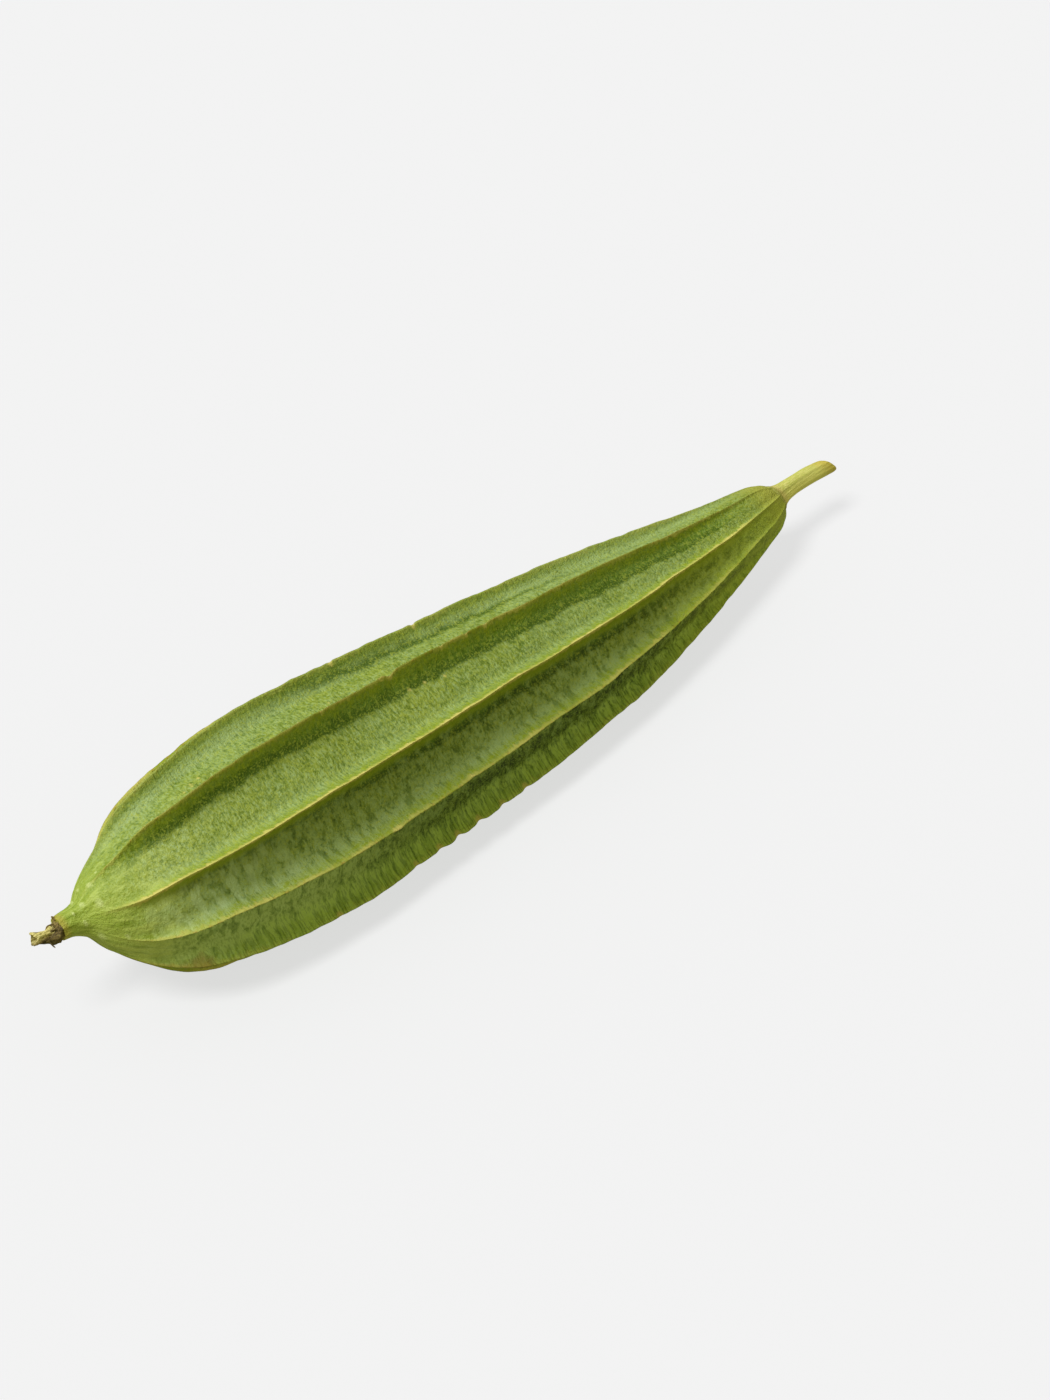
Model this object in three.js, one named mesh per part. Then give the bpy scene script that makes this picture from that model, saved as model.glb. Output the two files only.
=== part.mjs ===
// A ridge gourd as picked: a club-shaped fruit with ten sharp ridges, its cut stem at the thin end
// and the dried remains of its flower at the thick end, lying on its belly on a flat surface.
// Millimetres, +Z up. The stem points along +X. The origin is on the surface, under the middle.
import * as THREE from "three";
import { ConvexHull } from "three/addons/math/ConvexHull.js";

// Fruit, measured along its axis from the flower scar to the seat of the stem.
const FRUIT_LENGTH = 265;
const BELLY_RADIUS = 34.4; // axis to the tip of a ridge, at the widest place
const NECK_LENGTH = 6.5; // the short waist at the flower scar
const SCAR_RADIUS = 3.5;
const NECK_RADIUS = 5; // where the waist opens into the fruit
const SEAT_RADIUS = 4.4; // flat end that the stem grows from
const VALLEY_DEPTH = 0.2; // depth of the valleys, as a share of the ridge radius
const VALLEY_SQUARENESS = 6; // 2 makes round valleys, more makes flat ones with narrow ridges
const STEM_RISE = 8; // how far the axis has risen at the stem end
const STEM_RISE_START = 0.5; // share of the length where it starts to rise
const STEM_RISE_POWER = 2.6;
const NECK_RISE = 4.5; // how far the neck stands above the belly's axis
const NECK_RISE_END = 0.08; // share of the length by which that step is over
const RISE_ANGLE = 46; // degrees round the axis from +Y: the side that both ends rise towards
const RIDGE_TWIST = 4.5; // degrees that the ridges turn between belly and stem
const NECK_CROWDING = 32; // degrees that ridges are drawn round towards one side at the neck
const OPEN_SIDE = 141; // the side they are drawn away from, in degrees round the axis from +Y
const CROWDING_END = 0.15; // share of the length by which they stand in their own places

// Where the ridges stand, in degrees round the axis from +Y. The last two carry the fruit.
const RIDGE_ANGLES = [-70, -34, 0, 33, 66, 102, 141, 174, 210, 252];

// Outline of the ridge tips between neck and seat: share of the length, share of the belly radius.
const OUTLINE = [
  [0.018, 0.312],
  [0.05, 0.531],
  [0.1, 0.8],
  [0.17, 0.934],
  [0.26, 1],
  [0.38, 0.945],
  [0.55, 0.845],
  [0.68, 0.73],
  [0.8, 0.56],
  [0.9, 0.38],
  [0.965, 0.27],
  [0.988, 0.2],
];

// Stem: a five-sided stalk, flared where it leaves the fruit and cut at a slant.
const STEM_LENGTH = 22;
const STEM_RADIUS = 2.8;
const SEAT_RIM = 0.5; // rim of the seat left round the foot of the stem
const STEM_LEAN = 2.8; // how far its cut end is drawn back from the line it starts on
const CUT_SLANT = 1.3; // how much further the long edge of the cut reaches

// Dried flower: a pale tube of withered style inside a crumpled brown collar.
const STYLE_LENGTH = 9.5;
const STYLE_RADIUS = 1.4;
const STYLE_MOUTH_RADIUS = 1.7;
const STYLE_LIFT = 0.8; // how far its broken end is turned up
const COLLAR_LENGTH = 5.6;
const COLLAR_WALL = 1.3;
const COLLAR_SAG = 0.7; // the collar hangs thicker on its lower side

const JOINT_GAP = 0.3; // left between pieces that grow on each other

const FACETS_PER_PANEL = 6;
const STATIONS_PER_SPAN = 3;
const SMALL_SIDES = 20;

const FRUIT_GREEN = 0x6f8f32;
const STEM_YELLOW = 0xb9b654;
const COLLAR_BROWN = 0x5e4a1e;
const STYLE_STRAW = 0xbfae6a;

const radians = THREE.MathUtils.degToRad;
const smoothstep = THREE.MathUtils.smoothstep;

function aroundAxis(angle) {
  return new THREE.Vector3(0, Math.cos(angle), Math.sin(angle));
}

const riseSide = aroundAxis(radians(RISE_ANGLE));

function stemRise(x) {
  const share = (x / FRUIT_LENGTH - STEM_RISE_START) / (1 - STEM_RISE_START);
  return STEM_RISE * Math.max(0, share) ** STEM_RISE_POWER;
}

// Middle of the fruit at a distance along its axis: straight at the belly, raised at both ends.
function axisPoint(x) {
  const neckRise = NECK_RISE * (1 - smoothstep(x / FRUIT_LENGTH, 0, NECK_RISE_END));
  return riseSide.clone().multiplyScalar(stemRise(x) + neckRise).setX(x);
}

// The way that a cross-section faces: along the axis, except that the neck's step is left out.
function axisDirection(x) {
  const slope = stemRise(x + 0.5) - stemRise(x - 0.5);
  return riseSide.clone().multiplyScalar(slope).setX(1).normalize();
}

// Turn that faces a cross-section along a direction.
function turnTo(direction) {
  return new THREE.Quaternion().setFromUnitVectors(new THREE.Vector3(1, 0, 0), direction);
}

// Distance along the axis and ridge radius, from the flower scar to the seat of the stem.
function ridgeOutline() {
  const bodyLength = FRUIT_LENGTH - NECK_LENGTH;
  const knots = OUTLINE.map(
    ([share, size]) => new THREE.Vector2(NECK_LENGTH + share * bodyLength, size * BELLY_RADIUS),
  );
  knots.unshift(new THREE.Vector2(0, SCAR_RADIUS), new THREE.Vector2(NECK_LENGTH, NECK_RADIUS));
  knots.push(new THREE.Vector2(FRUIT_LENGTH, SEAT_RADIUS));
  return new THREE.SplineCurve(knots).getPoints((knots.length - 1) * STATIONS_PER_SPAN);
}

// Valleys fade out into the neck at one end and into the seat of the stem at the other.
function valleyDepth(share) {
  const fromNeck = smoothstep(share, 0.01, 0.12);
  const toSeat = 1 - 0.7 * smoothstep(share, 0.8, 0.99);
  return VALLEY_DEPTH * fromNeck * toSeat;
}

// Turn of a point of the skin from its place round the belly to its place at a share of the length.
function ridgeShift(angle, share) {
  const crowding = radians(NECK_CROWDING) * (1 - smoothstep(share, 0, CROWDING_END));
  const twist = radians(RIDGE_TWIST) * smoothstep(share, 0.2, 0.8);
  return crowding * Math.sin(angle - radians(OPEN_SIDE)) - twist;
}

// One cross-section: sharp ridges joined by hollow panels.
function fruitSection(x, ridgeRadius) {
  const share = x / FRUIT_LENGTH;
  const depth = valleyDepth(share);
  const centre = axisPoint(x);
  const turn = turnTo(axisDirection(x));
  const ring = [];
  RIDGE_ANGLES.forEach((ridge, i) => {
    const next = i + 1 < RIDGE_ANGLES.length ? RIDGE_ANGLES[i + 1] : RIDGE_ANGLES[0] + 360;
    for (let k = 0; k < FACETS_PER_PANEL; k++) {
      const across = k / FACETS_PER_PANEL;
      const hollow = 1 - Math.abs(2 * across - 1) ** VALLEY_SQUARENESS;
      const place = radians(ridge + across * (next - ridge));
      const angle = place + ridgeShift(place, share);
      const radius = ridgeRadius * (1 - depth * hollow);
      ring.push(aroundAxis(angle).multiplyScalar(radius).applyQuaternion(turn).add(centre));
    }
  });
  return ring;
}

// Closed surface through rings of equally many points, each ring running round +X.
function loft(rings) {
  const sides = rings[0].length;
  const points = rings.flat();
  const faces = [];
  for (let r = 0; r + 1 < rings.length; r++) {
    for (let s = 0; s < sides; s++) {
      const a = r * sides + s;
      const b = r * sides + ((s + 1) % sides);
      faces.push(a, b, a + sides, b, b + sides, a + sides);
    }
  }
  const addCap = (ring, start, flip) => {
    const middle = points.length;
    const sum = ring.reduce((total, point) => total.add(point), new THREE.Vector3());
    points.push(sum.divideScalar(sides));
    for (let s = 0; s < sides; s++) {
      const a = start + s;
      const b = start + ((s + 1) % sides);
      faces.push(middle, flip ? b : a, flip ? a : b);
    }
  };
  addCap(rings[0], 0, true);
  addCap(rings.at(-1), (rings.length - 1) * sides, false);
  const geometry = new THREE.BufferGeometry().setFromPoints(points).setIndex(faces);
  geometry.computeVertexNormals();
  return geometry;
}

// Ring of a small piece: a circle across a direction, with a radius that may vary round it.
function smallRing(centre, direction, radiusAt) {
  const turn = turnTo(direction);
  return Array.from({ length: SMALL_SIDES }, (_, s) => {
    const angle = (s / SMALL_SIDES) * 2 * Math.PI;
    const spoke = aroundAxis(angle).multiplyScalar(radiusAt(angle)).applyQuaternion(turn);
    return spoke.add(centre);
  });
}

function piece(name, geometry, color, roughness) {
  const material = new THREE.MeshStandardMaterial({ color, roughness, metalness: 0 });
  const mesh = new THREE.Mesh(geometry, material);
  mesh.name = name;
  return mesh;
}

function makeFruit() {
  const rings = ridgeOutline().map((station) => fruitSection(station.x, station.y));
  return piece("fruit", loft(rings), FRUIT_GREEN, 0.55);
}

// The stalk leaves the seat along the fruit's axis, then leans back; its last ring is slanted.
function makeStem() {
  const seat = axisPoint(FRUIT_LENGTH);
  const out = axisDirection(FRUIT_LENGTH);
  const along = [0, 0.06, 0.14, 0.25, 0.4, 0.6, 0.8, 0.95, 1];
  const rings = along.map((share) => {
    const reach = JOINT_GAP + share * (STEM_LENGTH - JOINT_GAP);
    const centre = out.clone().multiplyScalar(reach).add(seat);
    centre.addScaledVector(riseSide, -STEM_LEAN * share ** 2);
    const flare = (SEAT_RADIUS - SEAT_RIM - STEM_RADIUS) * (1 - smoothstep(share, 0, 0.25));
    const edge = share === 1 ? 0.82 : 1;
    const fiveSided = (angle) => (STEM_RADIUS + flare) * edge * (1 + 0.03 * Math.cos(5 * angle));
    const ring = smallRing(centre, out, fiveSided);
    const slant = CUT_SLANT * smoothstep(share, 0.6, 0.95);
    ring.forEach((point) => {
      const side = point.clone().sub(centre).dot(riseSide) / STEM_RADIUS;
      point.addScaledVector(out, -slant * side);
    });
    return ring;
  });
  return piece("stem", loft(rings), STEM_YELLOW, 0.6);
}

// Middle of the withered style at a distance out from the flower scar.
function stylePoint(reach) {
  const lift = STYLE_LIFT * (reach / STYLE_LENGTH) ** 2;
  return axisPoint(0).addScaledVector(axisDirection(0), -reach).addScaledVector(riseSide, lift);
}

function makeDriedStyle() {
  const along = [0, 0.2, 0.4, 0.6, 0.8, 0.93, 1];
  const rings = along.map((share) => {
    const reach = STYLE_LENGTH - share * (STYLE_LENGTH - JOINT_GAP);
    const mouth = (STYLE_MOUTH_RADIUS - STYLE_RADIUS) * smoothstep(1 - share, 0.6, 1);
    const dented = (angle) => (STYLE_RADIUS + mouth) * (1 + 0.06 * Math.cos(3 * angle + 4 * share));
    return smallRing(stylePoint(reach), axisDirection(0), dented);
  });
  return piece("dried_style", loft(rings), STYLE_STRAW, 0.85);
}

// The collar is a crumpled sleeve round the style: out along its outside, back along its bore.
function makeDriedCalyx() {
  const bore = STYLE_RADIUS * 1.1 + JOINT_GAP;
  const outside = [0.05, 0.3, 0.6, 0.9];
  const wall = [0.75, 1, 0.9, 0.35];
  const under = radians(RISE_ANGLE + 180);
  const outer = outside.map((share, i) => {
    const crumpled = (angle) => {
      const sag = COLLAR_SAG * (0.5 + 0.5 * Math.cos(angle - under)) * wall[i];
      return bore + COLLAR_WALL * wall[i] * (1 + 0.2 * Math.sin(5 * angle + 2 * i)) + sag;
    };
    return smallRing(stylePoint(JOINT_GAP + share * COLLAR_LENGTH), axisDirection(0), crumpled);
  });
  const inner = [0.95, 0.5, 0].map((share) =>
    smallRing(stylePoint(JOINT_GAP + share * COLLAR_LENGTH), axisDirection(0), () => bore),
  );
  return piece("dried_calyx", sleeve([...outer, ...inner]), COLLAR_BROWN, 0.9);
}

// Closed sleeve: rings joined in order, and the last joined back to the first.
function sleeve(rings) {
  const sides = rings[0].length;
  const faces = [];
  rings.forEach((_, r) => {
    const next = (r + 1) % rings.length;
    for (let s = 0; s < sides; s++) {
      const t = (s + 1) % sides;
      const [a, b] = [r * sides + s, r * sides + t];
      const [c, d] = [next * sides + s, next * sides + t];
      faces.push(a, c, b, b, c, d);
    }
  });
  const geometry = new THREE.BufferGeometry().setFromPoints(rings.flat()).setIndex(faces);
  geometry.computeVertexNormals();
  return geometry;
}

// Centre of a closed mesh's volume, from the tetrahedra that its faces make with the origin.
function volumeCentre(geometry) {
  const points = geometry.getAttribute("position");
  const faces = geometry.index.array;
  const corner = (i) => new THREE.Vector3().fromBufferAttribute(points, faces[i]);
  const centre = new THREE.Vector3();
  let volume = 0;
  for (let i = 0; i < faces.length; i += 3) {
    const [a, b, c] = [corner(i), corner(i + 1), corner(i + 2)];
    const part = a.dot(b.clone().cross(c));
    centre.addScaledVector(a.add(b).add(c), part / 4);
    volume += part;
  }
  return centre.divideScalar(volume);
}

// A hull face carries the gourd when the centre of its volume stands over it.
function carries(face, centre) {
  let edge = face.edge;
  do {
    const from = edge.tail().point;
    const along = edge.head().point.clone().sub(from);
    if (along.cross(centre.clone().sub(from)).dot(face.normal) < 0) return false;
    edge = edge.next;
  } while (edge !== face.edge);
  return true;
}

// Turn that lays the gourd on the carrying face nearest to its underside, stem towards +X.
function restingTurn(points, centre) {
  const down = new THREE.Vector3(0, 0, -1);
  const faces = new ConvexHull().setFromPoints(points).faces.filter((f) => carries(f, centre));
  faces.sort((a, b) => b.normal.dot(down) - a.normal.dot(down));
  const lay = new THREE.Quaternion().setFromUnitVectors(faces[0].normal, down);
  const heading = axisPoint(FRUIT_LENGTH).sub(axisPoint(0)).applyQuaternion(lay);
  const swing = -Math.atan2(heading.y, heading.x);
  return new THREE.Quaternion().setFromAxisAngle(new THREE.Vector3(0, 0, 1), swing).multiply(lay);
}

function makeGourd() {
  const gourd = new THREE.Group();
  const fruit = makeFruit();
  gourd.add(fruit, makeStem(), makeDriedStyle(), makeDriedCalyx());
  const points = gourd.children.flatMap((mesh) => {
    const corners = mesh.geometry.getAttribute("position");
    return Array.from({ length: corners.count }, (_, i) =>
      new THREE.Vector3().fromBufferAttribute(corners, i),
    );
  });
  gourd.quaternion.copy(restingTurn(points, volumeCentre(fruit.geometry)));
  const turned = points.map((point) => point.clone().applyQuaternion(gourd.quaternion));
  const box = new THREE.Box3().setFromPoints(turned);
  const middle = box.getCenter(new THREE.Vector3());
  gourd.position.set(-middle.x, -middle.y, -box.min.z);
  return gourd;
}

export default makeGourd();
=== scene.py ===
import math
import bpy
import numpy as np
from mathutils import Euler, Matrix, Vector, noise


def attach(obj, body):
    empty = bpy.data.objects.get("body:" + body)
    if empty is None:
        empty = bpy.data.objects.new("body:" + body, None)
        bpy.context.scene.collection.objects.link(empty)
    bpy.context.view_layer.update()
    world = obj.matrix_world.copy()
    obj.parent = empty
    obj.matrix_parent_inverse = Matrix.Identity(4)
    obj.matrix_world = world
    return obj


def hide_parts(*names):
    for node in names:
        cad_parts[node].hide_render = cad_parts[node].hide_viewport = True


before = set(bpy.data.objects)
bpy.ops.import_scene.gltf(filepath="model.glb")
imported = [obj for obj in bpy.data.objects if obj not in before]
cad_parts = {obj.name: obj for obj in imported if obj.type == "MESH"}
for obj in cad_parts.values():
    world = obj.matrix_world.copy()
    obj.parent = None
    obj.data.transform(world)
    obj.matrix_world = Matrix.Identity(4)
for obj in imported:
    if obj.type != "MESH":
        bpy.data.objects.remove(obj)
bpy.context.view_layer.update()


# The fruit. It grows as one piece: a club with ten sharp ridges and hollow panels between them, under
# a leathery green skin that dries to a tan callus along each ridge. It lies on its two lowest ridges.

MM = 0.001
FRUIT_LENGTH = 265.0
BELLY_RADIUS = 34.4
NECK_LENGTH = 6.5
NECK_RADIUS = 5.0
SCAR_RADIUS = 3.5
SEAT_RADIUS = 4.4
VALLEY_DEPTH = 0.2
VALLEY_SQUARENESS = 6.0
STEM_RISE = 8.0
NECK_RISE = 4.5
RISE_ANGLE = math.radians(46)
RIDGE_TWIST = 4.5
NECK_CROWDING = math.radians(32)
OPEN_SIDE = math.radians(141)
RIDGE_ANGLES = [-70, -34, 0, 33, 66, 102, 141, 174, 210, 252, 290]
OUTLINE = [
    (0.018, 0.312), (0.05, 0.531), (0.1, 0.8), (0.17, 0.934), (0.26, 1), (0.38, 0.945),
    (0.55, 0.845), (0.68, 0.73), (0.8, 0.56), (0.9, 0.38), (0.965, 0.27), (0.988, 0.2),
]
# How the fruit lies: its own axis starts at the flower scar, and it is turned on to two ridges.
LYING = Matrix.Translation((-139.221 * MM, 0.598 * MM, 38.856 * MM)) @ Euler(
    (math.radians(1.118), math.radians(4.374), math.radians(-0.516))
).to_matrix().to_4x4() @ Matrix.Scale(MM, 4)

rise_side = np.array([0, math.cos(RISE_ANGLE), math.sin(RISE_ANGLE)])


def ease(value, low, high):
    share = np.clip((value - low) / (high - low), 0, 1)
    return share * share * (3 - 2 * share)


def stem_rise(x):
    return STEM_RISE * np.maximum(0, x / FRUIT_LENGTH * 2 - 1) ** 2.6


def axis_place(x):
    neck_rise = NECK_RISE * (1 - ease(x / FRUIT_LENGTH, 0, 0.08))
    place = np.outer(stem_rise(x) + neck_rise, rise_side)
    place[:, 0] += x
    return place


def axis_heading(x):
    heading = np.outer(stem_rise(x + 0.5) - stem_rise(x - 0.5), rise_side)
    heading[:, 0] = 1
    return heading / np.linalg.norm(heading, axis=1, keepdims=True)


def ridge_radius(x):
    body = FRUIT_LENGTH - NECK_LENGTH
    knots = [(0, SCAR_RADIUS), (NECK_LENGTH, NECK_RADIUS)]
    knots += [(NECK_LENGTH + share * body, size * BELLY_RADIUS) for share, size in OUTLINE]
    knots = np.array(knots + [(FRUIT_LENGTH, SEAT_RADIUS)], float)
    ends = np.vstack([knots[:1], knots, knots[-1:]])
    slope = (ends[2:] - ends[:-2]) / 2
    fine = []
    for k in range(len(knots) - 1):
        t = np.linspace(0, 1, 24, endpoint=False)[:, None]
        start, stop = knots[k], knots[k + 1]
        fine.append(
            (2 * t**3 - 3 * t**2 + 1) * start + (t**3 - 2 * t**2 + t) * slope[k]
            + (3 * t**2 - 2 * t**3) * stop + (t**3 - t**2) * slope[k + 1]
        )
    fine = np.vstack(fine + [knots[-1:]])
    return np.interp(x, fine[:, 0], fine[:, 1])


def lumps(along, around, cells_per_ridge, seed):
    """Smooth random relief from -1 to 1, one lump for each whole step, closed round the fruit."""
    cells = 10 * cells_per_ridge
    heights = np.random.default_rng(seed).uniform(-1, 1, (400, cells))
    u, v = along + 100, around * cells_per_ridge
    u0, v0 = np.floor(u).astype(int), np.floor(v).astype(int)
    fu, fv = ease(u - u0, 0, 1), ease(v - v0, 0, 1)
    low = heights[u0 % 400, v0 % cells] * (1 - fv) + heights[u0 % 400, (v0 + 1) % cells] * fv
    high = heights[(u0 + 1) % 400, v0 % cells] * (1 - fv)
    high += heights[(u0 + 1) % 400, (v0 + 1) % cells] * fv
    return low * (1 - fu) + high * fu


ROWS = 532
CAP_ROWS = 4
STEPS_ALONG = ROWS + 2 * CAP_ROWS
COLUMNS_PER_HALF_PANEL = 9
COLUMNS_PER_PANEL = 2 * COLUMNS_PER_HALF_PANEL
STEPS_ROUND = 10 * COLUMNS_PER_PANEL

bpy.ops.object.select_all(action="DESELECT")
bpy.ops.mesh.primitive_grid_add(x_subdivisions=STEPS_ALONG, y_subdivisions=STEPS_ROUND, size=1)
skin = bpy.context.object
skin.name = skin.data.name = "ridged_skin"

flat = np.empty(len(skin.data.vertices) * 3)
skin.data.vertices.foreach_get("co", flat)
flat = flat.reshape(-1, 3) + 0.5
row = np.round(flat[:, 0] * STEPS_ALONG).astype(int)
column = np.round(flat[:, 1] * STEPS_ROUND).astype(int)

# Rows stand closer where the fruit swells and closes; the last few at each end close its flat ends.
trial = np.linspace(0, FRUIT_LENGTH, 2000)
closeness = 1 + 1.3 * (1 - ease(trial, 8, 34)) + 2.2 * ease(trial, 250, 262)
count = np.concatenate([[0], np.cumsum((closeness[1:] + closeness[:-1]) / 2)])
row_x = np.interp(np.linspace(0, count[-1], ROWS + 1), count, trial)
cap_share = np.array([0, 0.4, 0.75, 0.95])
row_x = np.concatenate([[0] * CAP_ROWS, row_x, [FRUIT_LENGTH] * CAP_ROWS])
row_share = np.concatenate([cap_share, np.ones(ROWS + 1), cap_share[::-1]])

# Columns crowd towards each ridge. Around counts ridges and off_crest is the way to the nearest one.
half = 0.5 * np.linspace(0, 1, COLUMNS_PER_HALF_PANEL + 1) ** 1.9
across_panel = np.concatenate([half, 1 - half[-2::-1]])[:-1]
panel, panel_step = np.divmod(column, COLUMNS_PER_PANEL)
x = row_x[row]
across = across_panel[panel_step]
around = panel + across
this_ridge = panel % 10

ridges = np.array(RIDGE_ANGLES, float)
share = x / FRUIT_LENGTH
radius = ridge_radius(x)
panel_angle = (ridges[1:] - ridges[:-1])[this_ridge]
panel_width = np.radians(panel_angle) * radius
off_crest = np.minimum(across, 1 - across) * panel_width
nearest = np.where(across < 0.5, panel, panel + 1) % 10

# Each ridge wanders a little from side to side and up and down, as it grew.
RIDGE_HALF_WIDTH = 2.5
drift = np.zeros((11, len(trial)))
swell = np.zeros((11, len(trial)))
for ridge in range(10):
    drift[ridge] = 0.5 * lumps(trial / 24, np.full(trial.shape, ridge), 1, 11)
    drift[ridge] += 0.2 * lumps(trial / 7, np.full(trial.shape, ridge), 1, 12)
    swell[ridge] = 0.22 * lumps(trial / 17, np.full(trial.shape, ridge), 1, 13)
    swell[ridge] += 0.12 * lumps(trial / 4.5, np.full(trial.shape, ridge), 1, 14)
    swell[ridge] += 0.07 * lumps(trial / 1.7, np.full(trial.shape, ridge), 1, 16)
drift[10] = drift[0]
index = np.clip(np.round(x / FRUIT_LENGTH * 1999).astype(int), 0, 1999)
sideways = drift[this_ridge, index] * (1 - across) + drift[this_ridge + 1, index] * across
wandering = ease(x, 12, 40) * (1 - ease(x, 235, 258))
angle = np.radians(ridges[this_ridge] + across * panel_angle)
crowding = NECK_CROWDING * np.sin(angle - OPEN_SIDE) * (1 - ease(share, 0, 0.15))
angle += crowding - math.radians(RIDGE_TWIST) * ease(share, 0.2, 0.8)
angle += sideways * wandering / np.maximum(radius, 8)

depth = VALLEY_DEPTH * ease(share, 0.01, 0.12) * (1 - 0.7 * ease(share, 0.8, 0.99))
hollow = 1 - np.abs(2 * across - 1) ** VALLEY_SQUARENESS
radius = radius * (1 - depth * hollow)
radius += swell[nearest, index] * wandering * np.exp(-((off_crest / RIDGE_HALF_WIDTH) ** 2))

# The callus stands up as a narrow bead, with a shallow crease on each side.
CALLUS_HEIGHT = 0.26
CALLUS_HALF_WIDTH = 0.55
CREASE_DEPTH = 0.13
CREASE_PLACE = 1.35
CREASE_HALF_WIDTH = 0.6
callus = ease(x, 10, 30) * (1 - 0.8 * ease(x, 225, 255))
callus = callus * (0.75 + 0.3 * lumps(x / 2.6, np.round(around), 1, 15))
radius += callus * CALLUS_HEIGHT * np.exp(-((off_crest / CALLUS_HALF_WIDTH) ** 2))
radius -= callus * CREASE_DEPTH * np.exp(-(((off_crest - CREASE_PLACE) / CREASE_HALF_WIDTH) ** 2))

# Near the flower one side grew less full than the rest.
LESS_FULL = 1.7
far_side = np.exp(-(((around - 3.1) / 1.1) ** 2)) * ease(x, 12, 26) * (1 - ease(x, 48, 80))
radius -= LESS_FULL * far_side

# Knocks on the ridges: which ridge, how far along, half width and depth. A raised one is a scab.
scar = np.zeros(len(x))
KNOCKS = [
    (5, 114, 1.6, 1.3), (5, 111, 1.3, -0.3), (5, 133, 0.7, 0.4), (5, 142, 0.8, 0.5), (5, 149, 1.0, 0.5),
    (5, 89, 0.7, 0.35), (6, 88, 1.4, 0.6), (6, 126, 1.5, -0.4), (6, 139, 1.2, -0.35), (6, 101, 0.8, 0.3),
    (7, 91, 2.4, -0.5), (7, 120, 0.9, 0.4), (4, 107, 0.8, 0.4), (4, 136, 0.8, 0.45), (8, 107, 1.5, 0.7),
    (8, 114, 1.5, 0.75), (8, 122, 1.6, 0.7), (8, 131, 1.5, 0.6), (8, 98, 1.2, 0.4), (8, 140, 1.3, 0.4),
    (8, 70, 1.3, 0.35), (3, 96, 1.8, 0.9), (2, 150, 1.6, 1.0),
    (1, 84, 1.5, 0.8), (0, 120, 1.9, 0.9), (9, 62, 1.6, 0.8), (2, 58, 1.2, 0.6), (3, 176, 1.4, 0.6),
]
for ridge, place, width, dip in KNOCKS:
    reach = np.exp(-(((x - place) / width) ** 2)) * np.exp(-((off_crest / 1.8) ** 2))
    reach = reach * (nearest == ridge)
    radius -= dip * reach
    scar = np.maximum(scar, reach * np.exp(-((off_crest / 0.6) ** 2)))

# Small pale blisters on the panels: place round in ridges, how far along, size and height.
BLISTERS = [
    (5.231, 118, 1.1, 0.35), (5.231, 123.5, 0.9, 0.3), (5.31, 130, 0.9, 0.25), (4.55, 49, 1.5, 0.2),
    (4.48, 52, 1.0, 0.15), (4.62, 46, 0.9, 0.15), (4.93, 30, 1.3, 0.3), (4.82, 72, 0.8, 0.25),
    (4.7, 85, 0.7, 0.2), (4.6, 97, 0.6, 0.15), (7.12, 37, 1.2, 0.2), (7.2, 41, 0.8, 0.15),
    (7.3, 152, 0.8, 0.2), (6.6, 205, 0.6, 0.2), (2.4, 66, 1.2, 0.25), (1.6, 110, 1.0, 0.2),
    (3.5, 140, 1.1, 0.2), (8.5, 92, 1.0, 0.2), (9.4, 160, 0.9, 0.2), (0.5, 48, 1.2, 0.25),
    (4.4, 6.5, 1.2, 0.3), (5.3, 7.5, 0.9, 0.3), (5.7, 10.5, 1.3, 0.3), (6.4, 6.0, 0.9, 0.25),
    (5.0, 11.5, 1.2, 0.3), (4.6, 9.5, 0.6, 0.25), (5.5, 4.5, 0.6, 0.25), (4.8, 15.0, 0.7, 0.25),
    (3.6, 8.0, 1.0, 0.3), (7.2, 8.5, 1.1, 0.3), (2.0, 7.0, 1.0, 0.3), (6.9, 13.0, 0.8, 0.25),
]
for place_round, place, size, height in BLISTERS:
    to_side = (around - place_round) * panel_width
    spread = np.exp(-((np.hypot(x - place, to_side * 0.8) / size) ** 2))
    radius += height * spread
    scar = np.maximum(scar, 0.75 * spread)

# Panels: broad unevenness, faint wrinkles from ridge to ridge, and a few strong pleats near the flower.
PLEAT_SPACING = 6.6
PLEAT_HEIGHT = 0.24
LOWER_PLEAT_HEIGHT = 0.16
inside = np.minimum(1, off_crest / 3.5)
full = ease(x, 6, 30) * (1 - 0.6 * ease(x, 200, 255))
radius += 0.36 * full * inside * lumps(x / 16, around, 2, 21)
radius += 0.2 * full * inside * lumps(x / 4.6 + 0.9 * np.sin(around * 4), around, 2, 27)
radius += 0.13 * full * inside * lumps(x / 2.3 + 0.6 * np.sin(around * 5), around, 2, 22)
radius += 0.08 * full * inside * lumps(x / 1.1 + 0.9 * np.sin(around * 7), around, 5, 23)
near_flower = ease(x, 9, 14) * (1 - ease(x, 36, 52)) * inside
pleat_place = x + 2.2 * np.sin(around * 6) + 1.4 * lumps(x / 9, around, 1, 24)
pleats = np.cos(pleat_place / PLEAT_SPACING * 2 * math.pi)
radius += PLEAT_HEIGHT * near_flower * np.maximum(0, pleats) ** 2
lower_panels = np.exp(-(((around - 7.2) / 1.1) ** 4)) * ease(x, 45, 70) * (1 - ease(x, 190, 230))
radius += LOWER_PLEAT_HEIGHT * lower_panels * inside * np.maximum(0, pleats) ** 2

# The neck is gathered into fine lengthwise cords, and so is the seat of the stalk.
cords = lumps(x / 9, around, 4, 25) + 0.6 * lumps(x / 3, around, 2, 26)
gathered = (1 - ease(x, 8, 22)) * 0.28 + ease(x, 240, 260) * 0.2
radius += gathered * cords

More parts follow.
